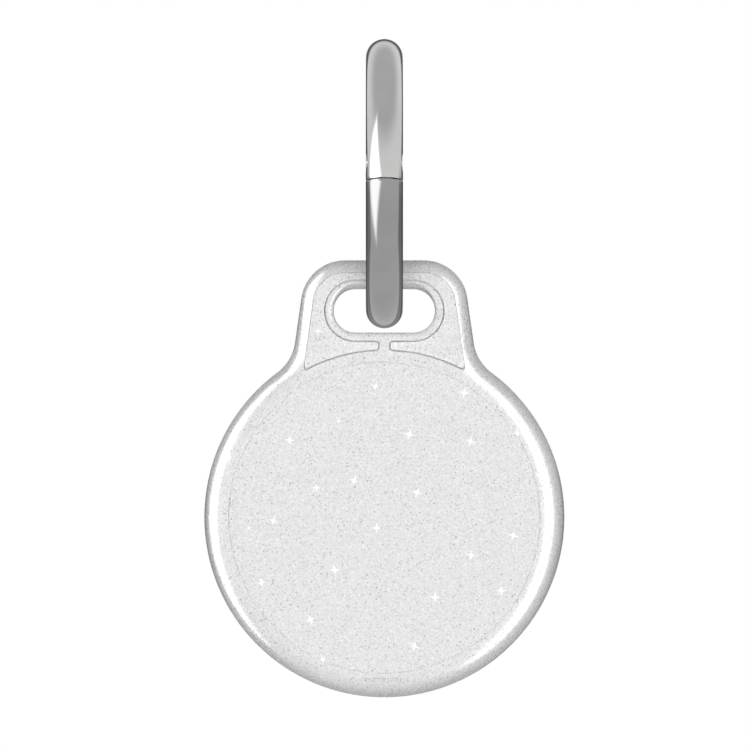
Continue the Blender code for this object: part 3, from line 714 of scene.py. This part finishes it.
def recess_outline(inset, side_inset):
    """The recess: a channel round the slot's rim, wide at its lower ends, parted by the bridge."""
    floor_r = RECESS_ARC_R + inset
    edge = RECESS_INSET + side_inset
    tip = on_tab_line(-edge, floor_r)
    start = atan2(tip[1], tip[0])
    rim_w = SLOT_HALF_W + SLOT_RIM + inset
    rim_h = SLOT_HALF_H + SLOT_RIM + inset
    bridge = BRIDGE_HALF + inset
    foot = asin(bridge / floor_r)
    outer = arc((0, 0), floor_r, pi / 2 - foot, start, 6)
    outer += arc((TAB_CORNER_X, TAB_CORNER_Z), TAB_CORNER_R - edge, TAB_FLARE, pi / 2, 20)
    inner = arc((rim_w - rim_h, SLOT_Z), rim_h, pi / 2, -pi / 2, 36)
    inner.append((bridge, SLOT_Z - rim_h))
    outer += [(-x, z) for x, z in reversed(outer)]
    inner_left = [(-x, z) for x, z in reversed(inner)]
    return soften(outer + inner_left + inner, RECESS_CORNER)


def recess_cutter():
    """The recess's cutter: upright walls, with a fine V-shaped trench along their foot."""
    floor = -CASE_HALF + RECESS_DEPTH
    mouth = recess_outline(0.0, 0.0)
    sections = [(floor - 3 * MM, mouth), (floor, mouth),
                (floor + TRENCH_DEPTH, recess_outline(TRENCH / 2, TRENCH / 8)),
                (floor, recess_outline(TRENCH, TRENCH / 4))]
    return loft("recess", sections)


def slot_cutter():
    """The ring's slot: the bar above it is arched for the ring's round, its other edges rounded."""
    steps = 48
    sections = []
    for i in range(steps + 1):
        angle = -pi / 2 + pi * i / steps
        y = CASE_HALF * sin(angle)
        past = max(0.0, (abs(y) - CASE_HALF + SLOT_ROUND) / SLOT_ROUND)
        sections.append((y, slot_outline(SLOT_ROUND * (1 - sqrt(max(0.0, 1 - past ** 2))),
                                         SLOT_FLARE * (1 - cos(angle)))))
    sections.insert(0, (-CASE_HALF - MM, slot_outline(SLOT_ROUND, SLOT_FLARE)))
    sections.append((CASE_HALF + MM, slot_outline(SLOT_ROUND, SLOT_FLARE)))
    return loft("slot", sections)


def slot_outline(rounding, arch):
    """The slot's outline, its sides and foot moved out by rounding and its top by arch."""
    lift = (SLOT_HALF_H + arch) / (SLOT_HALF_H + rounding)
    points = stadium(SLOT_HALF_W + rounding, SLOT_HALF_H + rounding, SLOT_Z)
    return [(x, SLOT_Z + (z - SLOT_Z) * (lift if z > SLOT_Z else 1.0)) for x, z in points]


def taper_tab(item):
    """Thin the tab towards its top: a soft start at the disc's edge, then straight."""
    work = bmesh.new()
    work.from_mesh(item.data)
    level = TAPER_START_Z - TAPER_SOFT
    while level < TAB_TOP_Z:
        everything = work.verts[:] + work.edges[:] + work.faces[:]
        bmesh.ops.bisect_plane(work, geom=everything, dist=TINY, plane_no=(0, 0, 1),
                               plane_co=(0, 0, CASE_Z + level))
        level += TAPER_STEP
    rise = TAB_TOP_Z - TAPER_START_Z
    for vert in work.verts:
        above = vert.co.z - CASE_Z - TAPER_START_Z
        if above < -TAPER_SOFT:
            along = 0.0
        elif above < TAPER_SOFT:
            along = (above + TAPER_SOFT) ** 2 / (4 * TAPER_SOFT)
        else:
            along = above
        vert.co.y *= 1 - along / rise * (1 - TAPER_TOP_HALF / CASE_HALF)
    work.to_mesh(item.data)
    work.free()


def cut_twist_lock(shell):
    """The stepped bore for the rear cap, with a groove and an entry slot for each lug."""
    shell = boolean(shell, disc("cap_bore", CAP_BORE_R, CAP_LEDGE_Y, CASE_HALF + MM))
    inner = CAP_BORE_R - 0.8 * MM
    for middle in LUG_ANGLES:
        half = LUG_HALF_ANGLE + CAP_TWIST / 2 + LUG_SPARE_ANGLE
        groove = sector(inner, GROOVE_R, middle + CAP_TWIST / 2, half, 36)
        cutter = front_prism("groove", groove, LUG_Y[0] - GROOVE_CLEARANCE,
                             LUG_Y[1] + GROOVE_CLEARANCE)
        entry = sector(inner - 0.3 * MM, GROOVE_R - 0.1 * MM, middle + CAP_TWIST,
                       LUG_HALF_ANGLE + 0.4 * LUG_SPARE_ANGLE, 11)
        mouth = front_prism("entry", entry, LUG_Y[0], CASE_HALF + MM)
        shell = boolean(shell, boolean(cutter, mouth, "UNION"))
    return shell


def disc_groove():
    """The fine line round the front disc, where the edge rounding begins."""
    width = DISC_GROOVE
    front = -CASE_HALF
    profile = [(DISC_R + 3 * width, front - 4 * width), (DISC_R, front + 2 * width)]
    profile += [(DISC_R - 3 * width, front - 4 * width)]
    return turned("disc_groove", profile, sides=200)


def mark_cutter():
    """A short row of plain V-shaped nicks for the rim's foot: a generic mark, with no letters."""
    work = bmesh.new()
    for i in range(MARK_COUNT):
        nick = bmesh.ops.create_cube(work, size=2)["verts"]
        for vert in nick:
            if vert.co.y > 0:
                vert.co.x *= NICK_TIP
        bmesh.ops.scale(work, verts=nick, vec=NICK_HALF)
        place = ((i - MARK_COUNT // 2) * MARK_PITCH, -CASE_HALF - NICK_HALF[1] + MARK_DEPTH,
                 CASE_Z - MARK_R)
        bmesh.ops.translate(work, verts=nick, vec=place)
    return solid(object_from(work, "mark", WORK), "mark")


def build_shell():
    """The case's front and rim: its recess, slot, fine lines and mark, then the tracker's space."""
    shell = front_prism("shell", case_outline(), -CASE_HALF, CASE_HALF, EDGE_ROUND, 10)
    shell = boolean(shell, recess_cutter())
    shell = boolean(shell, slot_cutter())
    shell = boolean(shell, disc_groove())
    shell = boolean(shell, mark_cutter())
    taper_tab(shell)
    shell = boolean(shell, disc("cavity", CAVITY_R, CAVITY_FRONT_Y, CASE_HALF + MM))
    shell = cut_twist_lock(shell)
    finish_piece(shell, "case_moulded", "case", ["front_shell"], GLITTER, 32)


def build_cap():
    """The rear cap: a plate with a skirt, three lugs and two thumb grips."""
    rear = CASE_HALF
    plate_front = rear - CAP_PLATE
    profile = [(0, plate_front), (CAP_SKIRT_INNER_R, plate_front)]
    profile += [(CAP_SKIRT_INNER_R, CAP_SKIRT_FRONT_Y), (CAP_R, CAP_SKIRT_FRONT_Y)]
    profile += arc((CAP_R - CAP_ROUND, rear - CAP_ROUND), CAP_ROUND, 0, pi / 2, 6)
    profile.append((0, rear))
    cap = turned("cap", profile, closed=False)
    for middle in LUG_ANGLES:
        lug = sector(CAP_R - 0.6 * MM, LUG_R, middle, LUG_HALF_ANGLE, 12)
        cap = boolean(cap, front_prism("lug", lug, *LUG_Y, LUG_ROUND, 2), "UNION")
    for side in (-1, 1):
        thumb = [(z + side * GRIP_OFFSET, x) for x, z in stadium(GRIP_R, GRIP_R / 2, 0)]
        cutter = front_prism("thumb", thumb, rear - GRIP_DEPTH, rear + 3 * MM, GRIP_ROUND, 5)
        cap = boolean(cap, cutter)
    finish_piece(cap, "cap_moulded", "rear_cap", ["rear_cap"], GLITTER, 32)


# The painted glints: x and z from the case's centre, and the ray's length, in mm.
GLINTS = ((-1.0, 15.3, 0.6), (9.3, 14.5, 0.9), (-5.3, 11.2, 0.5), (2.9, 9.7, 0.9),
          (15.5, 9.8, 0.8), (-11.0, 9.0, 0.9), (10.0, 8.9, 0.8), (-18.1, 7.0, 1.1),
          (-3.5, 4.3, 0.8), (-7.9, 3.5, 0.7), (3.8, 2.9, 0.9), (-12.9, -0.4, 0.8),
          (-0.9, -1.2, 0.9), (-15.8, -1.2, 0.5), (15.0, -2.1, 0.9), (10.1, -4.4, 0.8),
          (-5.8, -6.1, 0.9), (-14.3, -7.6, 0.7), (13.6, -8.5, 0.9), (5.9, -9.3, 0.9),
          (-8.6, -11.9, 0.9), (3.5, -15.0, 0.8), (-7.2, -16.5, 0.7), (-7.7, 21.7, 0.6))


def front_level(x, z):
    """The y of the case's front: of the round body, or of the recess's floor above it."""
    if z > TAPER_START_Z:
        rise = (z - TAPER_START_Z) / (TAB_TOP_Z - TAPER_START_Z)
        return (RECESS_DEPTH - CASE_HALF) * (1 - rise * (1 - TAPER_TOP_HALF / CASE_HALF))
    past = max(0.0, hypot(x, z) - (CASE_R - EDGE_ROUND))
    return -CASE_HALF + EDGE_ROUND - sqrt(max(0.0, EDGE_ROUND ** 2 - past ** 2))


def build_glints():
    """Painted glints: four long thin points whose painted white glow fades from a bright heart."""
    work = bmesh.new()
    shine = work.verts.layers.float.new("shine")
    dice = Random(7)
    for x, z, ray in GLINTS:
        x, z, ray = x * MM, z * MM, ray * MM
        lean = radians(dice.uniform(-GLINT_LEAN, GLINT_LEAN))
        rim = []
        for k in range(4 * len(GLINT_REACH)):
            reach = ray * GLINT_REACH[k % 4]
            angle = lean + k * pi / 8
            across, up = x + reach * cos(angle), z + reach * sin(angle)
            y = front_level(across, up) - GLINT_PROUD
            rim.append(work.verts.new((across, y, CASE_Z + up)))
        heart = work.verts.new((x, front_level(x, z) - GLINT_PROUD, CASE_Z + z))
        heart[shine] = 1.0
        for k, corner in enumerate(rim):
            work.faces.new((heart, rim[k - 1], corner))
    bmesh.ops.recalc_face_normals(work, faces=work.faces)
    item = object_from(work, "glints", WORK)
    finish_piece(item, "glint_flakes", "case", [], GLINT)


# ---------------------------------------------------------------- inner pieces, as the CAD has them

INNER = {
    "gate_spring": polished_metal("music_wire", (0.6, 0.6, 0.58), 0.25),
    "cap_seal": moulded("silicone", (0.045, 0.045, 0.048), 0.6),
    "tracker_cover": moulded("white_gloss", (0.85, 0.85, 0.84), 0.14, 0.5),
    "tracker_frame": moulded("nylon", (0.1, 0.1, 0.11), 0.5),
    "logic_board": moulded("solder_mask", (0.015, 0.08, 0.045), 0.35, 0.4),
    "battery_gasket": moulded("gasket_nylon", (0.5, 0.5, 0.48), 0.5),
    "battery_anode": moulded("lithium_metal", (0.6, 0.6, 0.62), 0.45, 0.3, 1.0),
    "battery_separator": moulded("felt", (0.8, 0.79, 0.75), 0.9, 0.15),
    "battery_cathode": moulded("pressed_powder", (0.03, 0.03, 0.03), 0.9, 0.12),
    "battery_cover": polished_metal("cover_steel", (0.66, 0.66, 0.65), 0.14),
}
SHARED = {
    moulded("chip_epoxy", (0.035, 0.035, 0.037), 0.45, 0.1):
        ("radio_chip", "memory_chip", "power_inductor"),
    brushed("shield_can", (0.6, 0.6, 0.59), 0.3): ("ranging_chip", "clock_crystal"),
    polished_metal("nickel_plate", (0.62, 0.6, 0.55), 0.2): ("speaker_magnet",),
    brushed("cell_steel", (0.62, 0.61, 0.58), 0.28): ("battery_can", "battery_lid", "speaker_yoke"),
    polished_metal("bare_copper", (0.72, 0.38, 0.24), 0.25):
        ("antenna_loop", "voice_coil", "contact_negative", "contact_positive_left",
         "contact_positive_right"),
}


def paint(node, finish):
    """Give a CAD node a finish in every one of its material slots."""
    item = frame["nodes"][node]
    for holder in item.material_slots:
        holder.material = finish
    if not item.material_slots:
        item.data.materials.append(finish)


def paint_inner_pieces():
    for node, finish in INNER.items():
        paint(node, finish)
    for finish, nodes in SHARED.items():
        for node in nodes:
            paint(node, finish)


# ---------------------------------------------------------------- light, floor and camera

class Sky:
    """Arithmetic on the direction looked in, for painting the studio's sky."""

    def __init__(self, tree):
        self.tree = tree
        split = tree.nodes.new("ShaderNodeSeparateXYZ")
        direction = tree.nodes.new("ShaderNodeTexCoord").outputs["Generated"]
        tree.links.new(direction, split.inputs[0])
        across, back, up = split.outputs
        self.azimuth = self.math("ARCTAN2", across, self.math("MULTIPLY", back, -1.0))
        self.elevation = self.math("ARCSINE", up, 0.0)
        self.from_front = self.math("ARCCOSINE", self.math("MULTIPLY", back, -1.0), 0.0)

    def math(self, operation, first, second):
        return add_math(self.tree, operation, first, second)

    def ramp(self, source, start, end, to_start=0.0, to_end=1.0):
        """A smooth change from to_start to to_end as an angle goes from start to end degrees."""
        node = self.tree.nodes.new("ShaderNodeMapRange")
        node.interpolation_type = "SMOOTHSTEP"
        values = (radians(start), radians(end), to_start, to_end)
        for socket, value in zip(("From Min", "From Max", "To Min", "To Max"), values):
            node.inputs[socket].default_value = value
        self.tree.links.new(source, node.inputs["Value"])
        return node.outputs["Result"]

    def diamond(self, azimuth, elevation, half_width, half_height, strength):
        """A tall softbox whose ends taper to points."""
        across = self.math("ABSOLUTE", self.math("SUBTRACT", self.azimuth, radians(azimuth)), 0)
        up = self.math("ABSOLUTE", self.math("SUBTRACT", self.elevation, radians(elevation)), 0)
        across = self.math("MULTIPLY", across, 1 / half_width)
        up = self.math("MULTIPLY", up, 1 / half_height)
        return self.ramp(self.math("ADD", across, up), 1.0, 0.55, 0.0, strength)


def background(tree, strength):
    """A white background of a strength that is a number or a node's output."""
    node = tree.nodes.new("ShaderNodeBackground")
    node.inputs["Color"].default_value = (1, 1, 1, 1)
    if isinstance(strength, float):
        node.inputs["Strength"].default_value = strength
    else:
        tree.links.new(strength, node.inputs["Strength"])
    return node.outputs[0]


def soft_light(sky):
    """What diffuse rays meet: a wide soft light in front, another behind, and a dim room."""
    front_light = sky.ramp(sky.from_front, *FRONT_FADE, 0.0, FRONT_LIGHT)
    back_light = sky.ramp(sky.from_front, *BACK_FADE, 0.0, BACK_LIGHT)
    return sky.math("ADD", sky.math("ADD", front_light, back_light), ROOM_LIGHT)


def gloss_light(sky):
    """What gloss rays meet: a grey room, dimmer overhead, dark behind, with a tall softbox."""
    room = sky.ramp(sky.elevation, *OVERHEAD_FADE, ROOM_GLOSS, OVERHEAD_GLOSS)
    above_foot = sky.ramp(sky.elevation, -24, -18)

    # A shade low in the room, from beside the object to behind it, which edges the lower wire.
    below_top = sky.ramp(sky.elevation, 8, -3, 0.0, 0.6)
    beside = sky.ramp(sky.from_front, 96, 108)
    low_side = sky.math("MULTIPLY", sky.math("MULTIPLY", above_foot, below_top), beside)

    # A dark ring straight behind, wider below eye level, which outlines the whole wire.
    sooner = sky.math("MULTIPLY", sky.ramp(sky.elevation, 11, 4, 0.0, radians(28)), above_foot)
    nearly_behind = sky.ramp(sky.math("ADD", sky.from_front, sooner), 152, 164, 0.0, 0.88)
    not_quite_behind = sky.ramp(sky.from_front, 177, 171)
    rim = sky.math("MULTIPLY", nearly_behind, not_quite_behind)
    rim = sky.math("MULTIPLY", rim, sky.ramp(sky.elevation, -12, -4, 0.6, 1.0))

    behind = sky.math("MAXIMUM", low_side, rim)
    room = sky.math("MULTIPLY", room, sky.math("SUBTRACT", 1.0, behind))
    return sky.math("ADD", room, sky.diamond(-62, 3, 52, 50, SOFTBOX_GLOSS))


def build_world():
    """The studio's sky: white to the camera, with its own light for diffuse and for gloss rays."""
    world = bpy.data.worlds.new("studio")
    bpy.context.scene.world = world
    world.use_nodes = True
    world.cycles.sampling_method = "NONE"
    tree = world.node_tree
    tree.nodes.clear()
    sky = Sky(tree)
    rays = tree.nodes.new("ShaderNodeLightPath").outputs
    room = tree.nodes.new("ShaderNodeMixShader")
    tree.links.new(rays["Is Diffuse Ray"], room.inputs[0])
    tree.links.new(background(tree, gloss_light(sky)), room.inputs[1])
    tree.links.new(background(tree, soft_light(sky)), room.inputs[2])
    seen = tree.nodes.new("ShaderNodeMixShader")
    tree.links.new(rays["Is Camera Ray"], seen.inputs[0])
    tree.links.new(room.outputs[0], seen.inputs[1])
    tree.links.new(background(tree, 1.0), seen.inputs[2])
    output = tree.nodes.new("ShaderNodeOutputWorld")
    tree.links.new(seen.outputs[0], output.inputs["Surface"])


def keep_ring_reflections_plain():
    """The case is left out of reflections, so that the ring mirrors the studio alone."""
    for item in bpy.context.scene.objects:
        if item.type == "MESH" and item.name not in ("ring_polished", "gate_polished"):
            item.visible_glossy = False


def build_strip_light(name, azimuth, elevation, height, radiance):
    """A tall strip light, seen only as a highlight on the glitter plastic."""
    data = bpy.data.lights.new(name, "AREA")
    data.shape = "ELLIPSE"
    data.size = STRIP_WIDTH
    data.size_y = height
    data.energy = radiance * pi * (pi / 4 * STRIP_WIDTH * height)
    item = bpy.data.objects.new(name, data)
    toward = Vector((sin(radians(azimuth)) * cos(radians(elevation)),
                     -cos(radians(azimuth)) * cos(radians(elevation)), sin(radians(elevation))))
    item.location = Vector((0, 0, CASE_Z)) + toward * STRIP_DISTANCE
    item.rotation_euler = toward.to_track_quat("Z", "Y").to_euler()
    item.visible_camera = False
    item.visible_diffuse = False
    bpy.context.scene.collection.objects.link(item)
    lit = bpy.data.collections.new(name + "_lit")
    for piece in ("case_moulded", "cap_moulded"):
        lit.objects.link(bpy.data.objects[piece])
    item.light_linking.receiver_collection = lit


def build_floor():
    """A plain pale floor that glows evenly, and takes no part in reflections or shadows."""
    work = bmesh.new()
    bmesh.ops.create_circle(work, cap_ends=True, segments=96, radius=FLOOR_R,
                            matrix=Matrix.Translation((0, 0, FLOOR_Z)))
    floor = object_from(work, "floor", bpy.context.scene.collection)
    finish = Nodes("pale_floor", (0.6, 0.6, 0.6), 0.9)
    finish.set("Emission Color", (1.0, 1.0, 1.0, 1.0))
    finish.set("Emission Strength", FLOOR_GLOW)
    floor.visible_glossy = False
    floor.visible_diffuse = False
    floor.visible_shadow = False
    floor.data.materials.append(finish.material)


def build_camera():
    """A long lens, level with the object's middle, so that VIEW_WIDTH fills the frame."""
    data = bpy.data.cameras.new("camera")
    data.type = "PERSP"
    data.sensor_width = SENSOR
    data.lens = data.sensor_width * CAMERA_DISTANCE / VIEW_WIDTH
    data.clip_start = 0.05
    data.clip_end = 20
    camera = bpy.data.objects.new("camera", data)
    camera.location = (CAMERA_X, -CAMERA_DISTANCE, CAMERA_Z)
    camera.rotation_euler = Euler((pi / 2, 0, 0))
    bpy.context.scene.collection.objects.link(camera)
    bpy.context.scene.camera = camera


build_camera()
build_world()
build_floor()
build_ring()
build_gate()
build_pin()
build_shell()
build_cap()
build_glints()
paint_inner_pieces()
keep_ring_reflections_plain()
build_strip_light("left_strip", azimuth=-82, elevation=6, height=2.9, radiance=9.5)
build_strip_light("right_strip", azimuth=48, elevation=0, height=2.8, radiance=9.0)
bpy.context.scene.view_settings.view_transform = "Standard"
